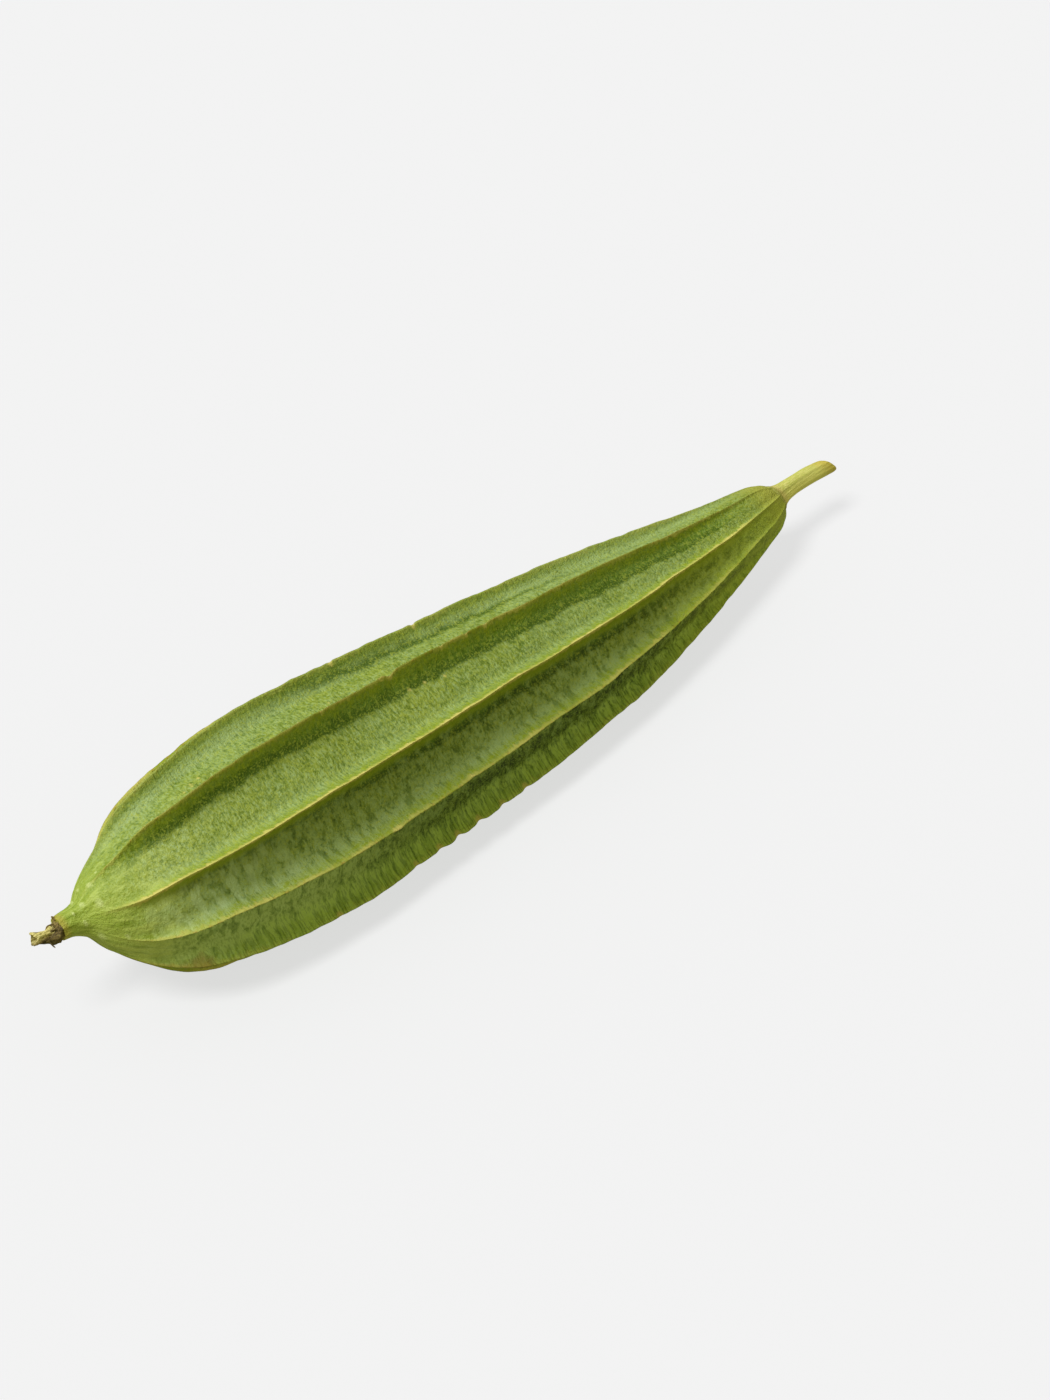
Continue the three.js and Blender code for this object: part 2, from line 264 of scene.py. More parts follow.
# Each row is set square on the bent axis, and the whole is laid down.
heading = axis_heading(x)
spoke_y = np.cos(angle) * radius * row_share[row]
spoke_z = np.sin(angle) * radius * row_share[row]
lean_y, lean_z, level = -heading[:, 2], heading[:, 1], heading[:, 0]
lean = (lean_y * spoke_y + lean_z * spoke_z) / (1 + level)
body = axis_place(x)
body[:, 0] += lean_y * spoke_z - lean_z * spoke_y
body[:, 1] += spoke_y * level + lean_y * lean
body[:, 2] += spoke_z * level + lean_z * lean
world = body @ np.array(LYING.to_3x3()).T + np.array(LYING.translation)
world[:, 2] = np.maximum(world[:, 2], 0)
skin.matrix_world = Matrix.Identity(4)
skin.data.vertices.foreach_set("co", world.ravel())

# Each point keeps its place on the fruit, for the patterns of the skin.
bruise = np.exp(-(((x - 27) / 9) ** 2) - ((around - 8.2) / 0.35) ** 2)
bruise = bruise + 0.6 * np.exp(-(((x - 90) / 16) ** 2) - ((around - 0.1) / 0.3) ** 2)
for name, values in (
    ("along", x), ("off_crest", np.minimum(off_crest, 12)), ("scar", scar), ("bruise", bruise),
):
    skin.data.attributes.new(name, "FLOAT", "POINT").data.foreach_set("value", values.astype(np.float32))

corner = np.empty(len(skin.data.loops), int)
skin.data.loops.foreach_get("vertex_index", corner)
layout = np.stack([share, around / 10], axis=1)[corner]
skin.data.uv_layers.active.data.foreach_set("uv", layout.ravel())

bpy.ops.object.mode_set(mode="EDIT")
bpy.ops.mesh.select_all(action="SELECT")
bpy.ops.mesh.remove_doubles(threshold=0.000002)
bpy.ops.mesh.normals_make_consistent(inside=False)
bpy.ops.object.mode_set(mode="OBJECT")
bpy.ops.object.shade_smooth()


class Signal:
    """One socket of a material's nodes. Sums on it add Math nodes, and node() adds any other node."""

    def __init__(self, tree, socket=None):
        self.tree = tree
        self.socket = socket

    def node(self, kind, settings=None, inputs=None, out=0):
        made = self.tree.nodes.new(kind)
        for name, value in (settings or {}).items():
            setattr(made, name, value)
        for name, value in (inputs or {}).items():
            if isinstance(value, Signal):
                self.tree.links.new(value.socket, made.inputs[name])
            else:
                made.inputs[name].default_value = value
        return Signal(self.tree, made.outputs[out])

    def sum(self, operation, first, second=0.0):
        return self.node("ShaderNodeMath", {"operation": operation}, {0: first, 1: second})

    def __add__(self, other):
        return self.sum("ADD", self, other)

    __radd__ = __add__

    def __sub__(self, other):
        return self.sum("SUBTRACT", self, other)

    def __rsub__(self, other):
        return self.sum("SUBTRACT", other, self)

    def __mul__(self, other):
        return self.sum("MULTIPLY", self, other)

    __rmul__ = __mul__

    def __truediv__(self, other):
        return self.sum("DIVIDE", self, other)

    def __abs__(self):
        return self.sum("ABSOLUTE", self)

    def step(self, low, high):
        """0 below low, 1 above high, eased between; low may be the larger of the two."""
        ramp = {"Value": self, "From Min": low, "From Max": high}
        return self.node("ShaderNodeMapRange", {"interpolation_type": "SMOOTHSTEP"}, ramp)

    def tint(self, factor, other, blend="MIX"):
        """This colour, changed towards another colour by a factor."""
        settings = {"data_type": "RGBA", "blend_type": blend}
        return self.node("ShaderNodeMix", settings, {0: factor, 6: self, 7: other}, 2)

    def shade(self, factor, other):
        """This colour, darkened by another colour by a factor."""
        return self.tint(factor, other, "MULTIPLY")

    def plain(self, colour):
        """One even colour, to start a pattern from."""
        even = self.node("ShaderNodeRGB")
        even.socket.default_value = colour
        return even

    def attribute(self, name, out="Fac"):
        return self.node("ShaderNodeAttribute", {"attribute_name": name}, {}, out)

    def part(self, number):
        """Part 0, 1 or 2 of a place: its x, y or z."""
        return self.node("ShaderNodeSeparateXYZ", {}, {0: self}, number)

    def stretched(self, scale):
        """This place, stretched, so that a pattern on it runs lengthwise."""
        return self.node("ShaderNodeMapping", {"vector_type": "POINT"}, {"Vector": self, "Scale": scale})

    def cloud(self, place, scale, detail=2.0, roughness=0.5):
        inputs = {"Vector": place, "Scale": scale, "Detail": detail, "Roughness": roughness}
        return self.node("ShaderNodeTexNoise", {}, inputs)

    def point(self, x, y, z=0.0):
        return self.node("ShaderNodeCombineXYZ", {}, {0: x, 1: y, 2: z})


def new_finish(name, roughness):
    """An empty material: its shader, and a signal to build its pattern from."""
    material = bpy.data.materials.new(name)
    material.use_nodes = True
    shader = material.node_tree.nodes["Principled BSDF"]
    shader.inputs["Roughness"].default_value = roughness
    return material, shader, Signal(material.node_tree)


def feed(shader, name, signal):
    signal.tree.links.new(signal.socket, shader.inputs[name])


def roughen(shader, relief, strength, depth):
    """Gives the shader a fine relief, up to a depth in metres."""
    bump = relief.node("ShaderNodeBump", {}, {"Height": relief, "Strength": strength, "Distance": depth})
    feed(shader, "Normal", bump)


LEAF = (0.176, 0.250, 0.040, 1)
DEEP = (0.056, 0.110, 0.001, 1)
LIME = (0.310, 0.370, 0.050, 1)
BLOOM = (0.295, 0.405, 0.170, 1)
STRAW = (0.560, 0.500, 0.150, 1)
OLIVE = (0.230, 0.300, 0.006, 1)
RUST = (0.380, 0.200, 0.030, 1)
BRUISE = (0.260, 0.140, 0.030, 1)
BETWEEN_HAIRS = (0.070, 0.135, 0.010, 1)
AFTER_RIDGE = (0.086, 0.172, 0.001, 1)
FOLD_EDGE_PAINTED_SHADOW = (0.030, 0.070, 0.001, 1)
RIM_GREEN = (0.120, 0.180, 0.001, 1)
CREASE_GREEN = (0.040, 0.090, 0.001, 1)
YELLOW_STRIP_AND_PAINTED_LIGHT = (0.330, 0.400, 0.020, 1)
FOLD_LIGHT = (0.400, 0.520, 0.270, 1)
LOW_END_PAINTED_LIGHT = (0.460, 0.570, 0.240, 1)
NECK_UNDERSIDE_PAINTED_LIGHT = (0.520, 0.600, 0.160, 1)
LOW_FLANK_PAINTED_LIGHT = (0.460, 0.620, 0.130, 1)
LOW_SPECK = (0.330, 0.470, 0.160, 1)
STALK_END_LIGHT = (0.400, 0.490, 0.050, 1)
NECK_GREEN = (0.270, 0.360, 0.030, 1)
NECK_CORD_LIGHT = (0.420, 0.510, 0.130, 1)
NECK_CORD_DARK = (0.150, 0.230, 0.006, 1)
NECK_SCAB = (0.500, 0.580, 0.230, 1)
FLOWER_SCAR = (0.420, 0.330, 0.060, 1)
SHOULDER_GREEN = (0.200, 0.240, 0.020, 1)
STALK_SEAT = (0.360, 0.370, 0.060, 1)
LOW_BAND_PAINTED_SHADE = (0.42, 0.47, 0.18, 1)
BLOTCH_SHADE = (0.45, 0.52, 0.25, 1)
LOW_BLOTCH_SHADE = (0.50, 0.58, 0.35, 1)
LOW_HAIR_SHADE = (0.52, 0.60, 0.40, 1)
LOW_SHADE = (0.93, 1.0, 0.9, 1)

# A turn counts the ridges round the fruit: ridge 4 is at 4.0, and the topmost panel runs from 4 to 5.
# The side that lies to the front and low runs from 6 to 8. Along and off the crest are millimetres.
skin_finish, shader, paint = new_finish("gourd_skin", 0.5)
in_mm = paint.node(
    "ShaderNodeVectorMath", {"operation": "SCALE"},
    {0: paint.node("ShaderNodeTexCoord", {}, {}, "Object"), "Scale": 1000.0},
)
along = paint.attribute("along")
off = paint.attribute("off_crest")
scar = paint.attribute("scar")
bruise = paint.attribute("bruise")
turn = paint.node("ShaderNodeUVMap", {"uv_map": "UVMap"}).part(1) * 10.0
across = paint.sum("FRACT", turn)
mid_length = along.step(10.0, 36.0) * along.step(262.0, 225.0)
topmost = abs(turn - 4.5).step(0.56, 0.48)
low_side = turn.step(5.9, 6.3) * turn.step(8.6, 8.1)

patches = paint.cloud(in_mm, 0.035, 2.0)
mottle = paint.cloud(in_mm, 0.16, 3.0, 0.6)
grain = paint.cloud(in_mm, 0.9, 2.0, 0.6)
speck = paint.cloud(in_mm, 2.1, 1.0, 0.5)
streaks = paint.cloud(paint.point(along * 0.75 + mottle * 1.6, turn * 4.5), 1.0, 3.0, 0.65)
hairs = paint.cloud(paint.point(along * 1.5 + mottle * 2.0, turn * 9.0, 1.0), 1.0, 2.0, 0.6)

# The ground: leaf green in pale and deep patches, with fine streaks from ridge to ridge.
colour = paint.plain(LEAF)
colour = colour.tint(patches.step(0.42, 0.62) * 0.4, LIME)
colour = colour.tint(patches.step(0.5, 0.34) * 0.35, BLOOM)
colour = colour.tint(mottle.step(0.52, 0.7) * 0.5, DEEP)
colour = colour.tint(streaks.step(0.46, 0.66) * 0.6, BLOOM)
colour = colour.tint(streaks.step(0.47, 0.32) * 0.45, DEEP)
colour = colour.tint(hairs.step(0.50, 0.66) * 0.7, BLOOM)
colour = colour.tint(hairs.step(0.49, 0.34) * 0.65, BETWEEN_HAIRS)

# After a ridge the skin is a clear green as far as a wavering edge, and a painted fold shadow darkens
# along that edge; up to the next ridge it pales with bloom, laid on thicker on the low side as painted
# light.
waver = (mottle - 0.5) * 5.0 + (grain - 0.5) * 2.0
waver = waver + along.step(60.0, 120.0) * 1.7 + along.step(150.0, 210.0) * 0.6 - 0.7
after_ridge = across.step(0.54, 0.48) * mid_length * (1 - topmost)
colour = colour.tint((off - waver).step(4.8, 3.6) * after_ridge * 0.7, AFTER_RIDGE)
edge = (off - waver).step(0.8, 3.2) * (off - waver).step(5.2, 3.9) * after_ridge
colour = colour.tint(edge * 0.7, FOLD_EDGE_PAINTED_SHADOW)
bloom_and_painted_light_flank = across - 0.18 * turn.step(7.0, 7.2) * turn.step(8.0, 7.9)
bloom_and_painted_light_flank = (bloom_and_painted_light_flank + (mottle - 0.5) * 0.5 + (grain - 0.5) * 0.2).step(0.56, 0.85)
bloom_and_painted_light_flank = bloom_and_painted_light_flank * mid_length * (1 - 0.9 * topmost) * (0.35 + 0.65 * low_side)
colour = colour.tint(bloom_and_painted_light_flank * 0.7, BLOOM)

# The topmost panel has a pale, green-edged rim, and a dark crease slants across it.
under_rim = across.step(0.2, 0.1) * topmost * mid_length
colour = colour.tint(under_rim * 0.75, BLOOM)
rim_green = (off + (grain - 0.5) * 0.8).step(1.1, 0.5) * across.step(0.5, 0.4) * topmost * mid_length
colour = colour.tint(rim_green * 0.6, RIM_GREEN)
crease = (across - 0.10 - (along - 118.0) * 0.0019 + (mottle - 0.5) * 0.16) / 0.06
crease = paint.sum("EXPONENT", crease * crease * -1.0)
crease = crease * topmost * along.step(70.0, 110.0) * along.step(250.0, 215.0)
colour = colour.tint(crease * 0.9, CREASE_GREEN)
far_top = topmost * along.step(160.0, 205.0) * (across + (mottle - 0.5) * 0.4).step(0.55, 0.35)
colour = colour.tint(far_top * 0.55, BLOOM)

# The low side is young near the flower, with more bloom; the bloom is laid on partly as painted light,
# to lift that side's shade.
young_bloom_and_painted_light = low_side * along.step(100.0, 35.0) * (0.5 + 0.5 * mottle.step(0.4, 0.6))
colour = colour.tint(young_bloom_and_painted_light * 0.75, BLOOM)

# Specks, light and dark, and tiny pale pores all over.
colour = colour.tint(grain.step(0.52, 0.66) * 0.5, LIME)
colour = colour.tint(grain.step(0.46, 0.32) * 0.5, DEEP)
colour = colour.tint(speck.step(0.52, 0.66) * 0.5, LIME)
pores = paint.node("ShaderNodeTexVoronoi", {}, {"Vector": in_mm, "Scale": 0.55, "Randomness": 1.0})
pore = pores.step(0.24, 0.12) * mottle.step(0.4, 0.6)
colour = colour.tint(pore * 0.6, LIME)

# A band along the low side, from the middle towards the stalk, is darkened as painted shade, and the
# low side is blotched darker and paler. Near the flower the low side is painted pale, as painted
# light that lifts its shade, and it has light folds.
low_band_painted_shade = abs(turn - 7.6 + (mottle - 0.5) * 0.4).step(0.36, 0.14)
low_band_painted_shade = low_band_painted_shade * along.step(70.0, 125.0) * along.step(258.0, 235.0)
colour = colour.shade(low_band_painted_shade * 0.95, LOW_BAND_PAINTED_SHADE)
blotch = paint.cloud(paint.point(along * 0.4 + mottle * 1.5, turn * 3.0, 12.0), 1.0, 3.0, 0.65)
colour = colour.tint(blotch.step(0.51, 0.62) * low_side * mid_length * 0.45, BLOOM)
colour = colour.shade(blotch.step(0.49, 0.38) * low_side * 0.75, BLOTCH_SHADE)
folds = paint.cloud(paint.point(along * 0.3 + mottle * 1.2, turn * 1.3, 20.0), 1.0, 2.0, 0.6)
folds = folds.step(0.5, 0.6) * low_side * along.step(10.0, 18.0) * along.step(75.0, 45.0)
colour = colour.tint(folds * 0.6, FOLD_LIGHT)
# Painted light: the low side near the flower is painted paler, to lift the lamp's shade there.
low_end_painted_light = abs(turn - 7.5).step(0.6, 0.45) * along.step(120.0, 45.0)
colour = colour.tint(low_end_painted_light * (0.5 + 0.3 * blotch.step(0.4, 0.6)), LOW_END_PAINTED_LIGHT)

# The neck is pale and yellowish, with cords along it; so is the seat of the stalk.
cord = paint.cloud(paint.point(along * 0.14, turn * 5.0, 9.0), 1.0, 2.0, 0.6)
# Painted light: the underside of the neck is painted paler, to lift its shade.
neck_underside_painted_light = abs(turn - 7.5).step(2.4, 1.2) * along.step(38.0, 12.0)
colour = colour.tint(neck_underside_painted_light * (0.35 + 0.35 * cord.step(0.45, 0.6)), NECK_UNDERSIDE_PAINTED_LIGHT)
colour = colour.tint(along.step(30.0, 6.0) * 0.7, NECK_GREEN)
at_neck = along.step(34.0, 12.0)
colour = colour.tint(cord.step(0.5, 0.64) * at_neck * 0.55, NECK_CORD_LIGHT)
colour = colour.tint(cord.step(0.47, 0.36) * at_neck * 0.5, NECK_CORD_DARK)
colour = colour.tint(along.step(2.6, 0.4) * 0.6, FLOWER_SCAR)
colour = colour.tint(along.step(240.0, 258.0) * 0.35, SHOULDER_GREEN)
colour = colour.tint((along + (grain - 0.5) * 6.0).step(249.0, 263.0) * 0.85, STALK_SEAT)

# Callus along the ridges: straw where it has dried, as on all of ridge 6, and olive where it is
# young, as on ridge 4. Beside the crests of the low side runs a yellower strip, painted lighter as
# painted light against the shadow that the crest casts on it.
ragged = paint.cloud(paint.point(along * 0.5, turn * 3.0, 3.0), 1.0, 3.0, 0.65)
dry = paint.cloud(paint.point(along * 0.06, turn * 1.0, 5.0), 1.0, 2.0).step(0.35, 0.62)
dry_ridge = abs(turn - 6.0).step(0.5, 0.3)
young_ridge = abs(turn - 4.0).step(0.5, 0.3)
callus_line = (off * (1 - 0.3 * dry_ridge) + (ragged - 0.5) * 1.6).step(0.55, 0.15)
callus_line = callus_line * along.step(8.0, 22.0) * along.step(262.0, 236.0)
callus_line = callus_line * (1 - 0.65 * young_ridge)
crest_band = (off * (1 - 0.35 * dry_ridge) + (ragged - 0.5) * 2.4).step(1.9, 0.5) * mid_length
crest_band = crest_band * (1 - 0.75 * young_ridge)
yellow_strip_and_painted_light = (off + (grain - 0.5) * 2.0).step(3.2, 1.0) * turn.step(5.98, 6.03) * turn.step(8.0, 7.9)
colour = colour.tint(yellow_strip_and_painted_light * across.step(0.5, 0.4) * mid_length * 0.5, YELLOW_STRIP_AND_PAINTED_LIGHT)
colour = colour.tint(crest_band * (0.45 + 0.4 * grain.step(0.45, 0.6)), OLIVE)
colour = colour.tint(callus_line * 0.5, OLIVE)
colour = colour.tint(callus_line * ragged.step(0.5, 0.62) * 0.6, RUST)
colour = colour.tint(callus_line * (0.1 + 0.5 * dry + 0.35 * dry_ridge), STRAW)

# The panel from ridge 7 to 8 is hairy and blotched; towards its second ridge it is painted paler, as
# painted light that lifts the shade there.
low_panel = turn.step(7.02, 7.07) * turn.step(8.06, 8.0) * along.step(14.0, 30.0)
low_flank_painted_light = (across + (mottle - 0.5) * 0.3).step(0.68, 0.95) * low_panel * along.step(10.0, 60.0)
colour = colour.tint(low_flank_painted_light * (0.25 + 0.45 * hairs.step(0.42, 0.58)), LOW_FLANK_PAINTED_LIGHT)
colour = colour.shade(hairs.step(0.5, 0.4) * low_panel * 0.6, LOW_HAIR_SHADE)
colour = colour.shade(blotch.step(0.5, 0.42) * low_panel * 0.5, LOW_BLOTCH_SHADE)
colour = colour.tint(speck.step(0.52, 0.62) * low_panel * 0.3, LOW_SPECK)
colour = colour.shade(low_panel * 0.6, LOW_SHADE)
stalk_end = turn.step(5.9, 6.15) * turn.step(8.3, 8.0) * along.step(180.0, 245.0)
colour = colour.tint(stalk_end * (0.3 + 0.25 * blotch.step(0.42, 0.58)), STALK_END_LIGHT)

# Knocks, scabs and blisters dry to straw, or pale at the neck, and the underside is bruised.
scarred = (scar + (grain - 0.5) * 0.5).step(0.35, 0.75) * 0.75
colour = colour.tint(scarred * along.step(20.0, 45.0), STRAW)
colour = colour.tint(scarred * along.step(45.0, 20.0), NECK_SCAB)
colour = colour.tint((bruise + (mottle - 0.5) * 0.9).step(0.4, 0.8) * 0.65, BRUISE)
feed(shader, "Base Color", colour)

relief = hairs * 0.8 + streaks * 0.5 + grain * 0.8 + speck * 0.35 + pore * 0.25
roughen(shader, relief + callus_line * ragged * 0.9, 0.75, 0.0005)
feed(shader, "Roughness", 0.40 + 0.2 * mottle + 0.25 * callus_line)
shader.inputs["Specular IOR Level"].default_value = 0.26
skin.data.materials.append(skin_finish)
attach(skin, "root")
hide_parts("fruit")


# The cut stalk. It grows out of the seat of the fruit with a flared foot, leans back a little, and
# was cut with a knife at a slant: a firm five-sided stem with fibres along it and an ochre, drying cut.

STALK_LENGTH = 22.0
STALK_ROOT = -1.6
FOOT_RADIUS = 5.3
STALK_LEAN = 2.8
CUT_SLANT = math.radians(24)
STALK_RINGS = [
    (-0.7, 5.1), (-0.1, 4.75), (0.5, 4.25), (1.2, 3.8), (2.2, 3.4), (3.6, 3.05), (5.5, 2.85),
    (8.0, 2.72), (11.0, 2.7), (14.0, 2.74), (17.0, 2.82), (19.6, 2.86), (21.0, 2.82), (21.6, 2.6),
]
STALK_GREEN = (0.47, 0.48, 0.12, 1)
PALE_FIBRE = (0.68, 0.64, 0.26, 1)
GREEN_FIBRE = (0.36, 0.38, 0.06, 1)
GREEN_STRIPE = (0.40, 0.44, 0.06, 1)
OCHRE_FLECK = (0.44, 0.35, 0.08, 1)
GREEN_FLECK = (0.30, 0.36, 0.04, 1)
LOWER_SIDE_PAINTED_LIGHT = (0.74, 0.72, 0.22, 1)
FOOT_TAN = (0.60, 0.47, 0.18, 1)
SKIN_OLIVE = (0.24, 0.27, 0.035, 1)
DRYING_OCHRE = (0.47, 0.35, 0.03, 1)
CUT_RIM = (0.13, 0.14, 0.028, 1)
PITH = (0.42, 0.36, 0.09, 1)


def growing_place(x, outwards):
    """Where a small part grows: its own +Z runs outwards along the axis, its +X to the rising side."""
    z = Vector(axis_heading(np.array([float(x)]))[0]) * outwards
    x_side = Vector(rise_side) - z * Vector(rise_side).dot(z)
    x_side.normalize()
    turn = Matrix((x_side, z.cross(x_side), z)).transposed().to_4x4()
    return LYING @ Matrix.Translation(Vector(axis_place(np.array([float(x)]))[0])) @ turn


def apply_modifier(mesh_object, kind, **settings):
    modifier = mesh_object.modifiers.new(kind.lower(), kind)
    for name, value in settings.items():
        setattr(modifier, name, value)
    bpy.ops.object.modifier_apply(modifier=modifier.name)


def points_of(mesh_object):
    flat = np.empty(len(mesh_object.data.vertices) * 3)
    mesh_object.data.vertices.foreach_get("co", flat)
    return flat.reshape(-1, 3)


def grow_tube(height, width, rings):
    """Extrudes the selected ring, which stands at a height, through rings of height, lean and width."""
    lean = 0.0
    for new_height, new_lean, new_width in rings:
        bpy.ops.mesh.extrude_region_move(
            TRANSFORM_OT_translate={"value": (new_lean - lean, 0, new_height - height)}
        )
        bpy.ops.transform.resize(
            value=(new_width / width, new_width / width, 1), center_override=(new_lean, 0, new_height)
        )
        height, lean, width = new_height, new_lean, new_width


def stalk_lean(height):
    return -STALK_LEAN * (np.maximum(0, height) / STALK_LENGTH) ** 2


def keep_grown(mesh_object):
    """Keeps each point's place on the part as it grew, for patterns that follow the part."""
    grown = mesh_object.data.attributes.new("grown", "FLOAT_VECTOR", "POINT")
    grown.data.foreach_set("vector", points_of(mesh_object).astype(np.float32).ravel())


def set_in_place(mesh_object, place):
    mesh_object.matrix_world = place
    bpy.ops.object.select_all(action="DESELECT")
    mesh_object.select_set(True)
    bpy.context.view_layer.objects.active = mesh_object
    bpy.ops.object.transform_apply(location=True, rotation=True, scale=True)
    bpy.ops.object.shade_smooth()


bpy.ops.object.select_all(action="DESELECT")
bpy.ops.mesh.primitive_circle_add(vertices=30, radius=FOOT_RADIUS, fill_type="NGON")
stalk = bpy.context.object
stalk.name = stalk.data.name = "cut_stalk"
bpy.ops.object.mode_set(mode="EDIT")
bpy.ops.mesh.select_all(action="SELECT")
bpy.ops.transform.translate(value=(0, 0, STALK_ROOT))
grow_tube(STALK_ROOT, FOOT_RADIUS, [(high, stalk_lean(high), wide) for high, wide in STALK_RINGS])
bpy.ops.mesh.inset(thickness=0.35, depth=0.12)
bpy.ops.mesh.inset(thickness=0.3, depth=-0.3)
bpy.ops.mesh.inset(thickness=0.9, depth=-0.1)
bpy.ops.mesh.inset(thickness=0.5, depth=-0.25)
bpy.ops.object.mode_set(mode="OBJECT")
apply_modifier(stalk, "SUBSURF", levels=2, render_levels=2)

# The slanted cut, the five sides and the fibres are worked in on the finished tube.
tube = points_of(stalk)
middle = stalk_lean(tube[:, 2])
turn_round = np.arctan2(tube[:, 1], tube[:, 0] - middle)
sides = 0.035 * np.cos(5 * turn_round + 0.4) + 0.012 * np.cos(13 * turn_round + tube[:, 2] * 0.12)
sides += 0.008 * np.cos(29 * turn_round + 1.1 * np.sin(tube[:, 2] * 0.5))
sides += 0.007 * np.sin(tube[:, 2] * 0.9 + 2 * np.cos(turn_round)) * ease(tube[:, 2], 2, 6)
spread = np.where(tube[:, 2] < 21.4, 1 + sides * ease(tube[:, 2], STALK_ROOT, 1.5), 1 + 0.6 * sides)
tube[:, 0] = middle + (tube[:, 0] - middle) * spread
tube[:, 1] *= spread
tube[:, 2] -= math.tan(CUT_SLANT) * ease(tube[:, 2], 13, 21) * (tube[:, 0] - middle)
stalk.data.vertices.foreach_set("co", tube.ravel())
keep_grown(stalk)
set_in_place(stalk, growing_place(FRUIT_LENGTH, 1))

stalk_finish, shader, paint = new_finish("stalk_fibre", 0.5)
grown = paint.attribute("grown", "Vector")
up_stalk = grown.part(2)
side = grown.part(0)
fibre_place = grown.stretched((1.0, 1.0, 0.09))
fibre = paint.cloud(fibre_place, 3.4, 3.0, 0.65)
wide_fibre = paint.cloud(fibre_place, 0.8, 2.0)
fleck = paint.cloud(grown, 1.6, 2.0, 0.6)
up_to_cut = up_stalk + side * 0.42  # the height at the slanted cut is the same all round it
cut_end = (up_to_cut + (fleck - 0.5) * 0.9).step(20.6, 21.3)
near_cut = (up_to_cut + (fibre - 0.5) * 6.0).step(14.5, 20.0)
foot = (up_stalk + (fibre - 0.5) * 2.6).step(3.2, 0.2)
colour = paint.plain(STALK_GREEN)
colour = colour.tint(fibre.step(0.48, 0.62) * 0.6, PALE_FIBRE)
colour = colour.tint(fibre.step(0.46, 0.36) * 0.4, GREEN_FIBRE)
colour = colour.tint(wide_fibre.step(0.5, 0.35) * 0.3, GREEN_STRIPE)
colour = colour.tint(fleck.step(0.55, 0.7) * 0.5, OCHRE_FLECK)
colour = colour.tint(fleck.step(0.45, 0.3) * 0.45, GREEN_FLECK)
# Painted light: the lower side of the stalk is painted lighter, to even out its shading.
colour = colour.tint(side.step(0.6, -2.2) * 0.75, LOWER_SIDE_PAINTED_LIGHT)
colour = colour.tint(foot * 0.6, FOOT_TAN)
at_skin = (up_stalk + (fleck - 0.5) * 2.2).step(0.9, -0.5)
colour = colour.tint(at_skin * 0.8, SKIN_OLIVE)
colour = colour.tint(near_cut * 0.7, DRYING_OCHRE)
colour = colour.tint(cut_end * 0.75, CUT_RIM)
pith = up_to_cut.step(21.75, 21.55) * up_to_cut.step(20.9, 21.3)
colour = colour.tint(pith * fibre.step(0.35, 0.6) * 0.6, PITH)
feed(shader, "Base Color", colour)
feed(shader, "Roughness", 0.42 + 0.25 * fibre)
roughen(shader, fibre * 0.8 + wide_fibre * 0.6 + fleck * 0.25, 0.6, 0.0004)
stalk.data.materials.append(stalk_finish)
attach(stalk, "root")
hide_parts("stem")


# The withered style: what is left of the flower's stalk, a pale papery tube that has split and dried
# with a ragged open mouth. It stands on the flower scar and turns up a little at its end.

STYLE_LENGTH = 8.4
STYLE_ROOT = -0.6
STYLE_RADIUS = 1.1
STYLE_LIFT = 0.8
STYLE_WALL = 0.34
STYLE_STEPS = 12
DRY_STRAW = (0.54, 0.48, 0.17, 1)
PALE_STRAW = (0.62, 0.56, 0.26, 1)
BROWN_FIBRE = (0.20, 0.13, 0.035, 1)
BROWN_SIDE = (0.15, 0.085, 0.022, 1)
BROWN_MOUTH = (0.12, 0.09, 0.02, 1)
RED_STAIN = (0.16, 0.07, 0.02, 1)

bpy.ops.object.select_all(action="DESELECT")
bpy.ops.mesh.primitive_circle_add(vertices=28, radius=STYLE_RADIUS, fill_type="NOTHING")
style = bpy.context.object
style.name = style.data.name = "withered_style"
bpy.ops.object.mode_set(mode="EDIT")
bpy.ops.mesh.select_all(action="SELECT")
bpy.ops.transform.translate(value=(0, 0, STYLE_ROOT))
rings = []
for number in range(1, STYLE_STEPS + 1):
    high = STYLE_ROOT + (STYLE_LENGTH + 0.4) * number / STYLE_STEPS
    wide = STYLE_RADIUS + 0.08 * math.sin(number * 1.9) + 0.3 * max(0, number - 8) / 4
    rings.append((high, STYLE_LIFT * max(0, high / STYLE_LENGTH) ** 2, wide))
grow_tube(STYLE_ROOT, STYLE_RADIUS, rings)
bpy.ops.object.mode_set(mode="OBJECT")
apply_modifier(style, "SOLIDIFY", thickness=STYLE_WALL, offset=-1)
apply_modifier(style, "SUBSURF", levels=2, render_levels=2)
tube = points_of(style)
turn_round = np.arctan2(tube[:, 1], tube[:, 0])
crease = np.array([
    noise.noise(Vector((2.2 * math.cos(way), 2.2 * math.sin(way), high * 0.35)))
    for way, high in zip(turn_round, tube[:, 2])
])
pucker = np.array([noise.noise(Vector(point) * 1.3) for point in tube])
tube[:, :2] *= (1 + 0.34 * crease * ease(tube[:, 2], -0.5, 2))[:, None]
tube[:, :2] += 0.16 * np.stack([pucker, -pucker], axis=1)
torn = 0.9 * np.cos(turn_round - 2.4) + 0.5 * np.cos(3 * turn_round + 1) + 0.35 * np.cos(7 * turn_round)
tube[:, 2] += torn * 0.55 * ease(tube[:, 2], 6.4, STYLE_LENGTH - 0.2)
tube[:, 2] = np.minimum(tube[:, 2], STYLE_LENGTH + 0.35)
style.data.vertices.foreach_set("co", tube.ravel())
keep_grown(style)
set_in_place(style, growing_place(0, -1))

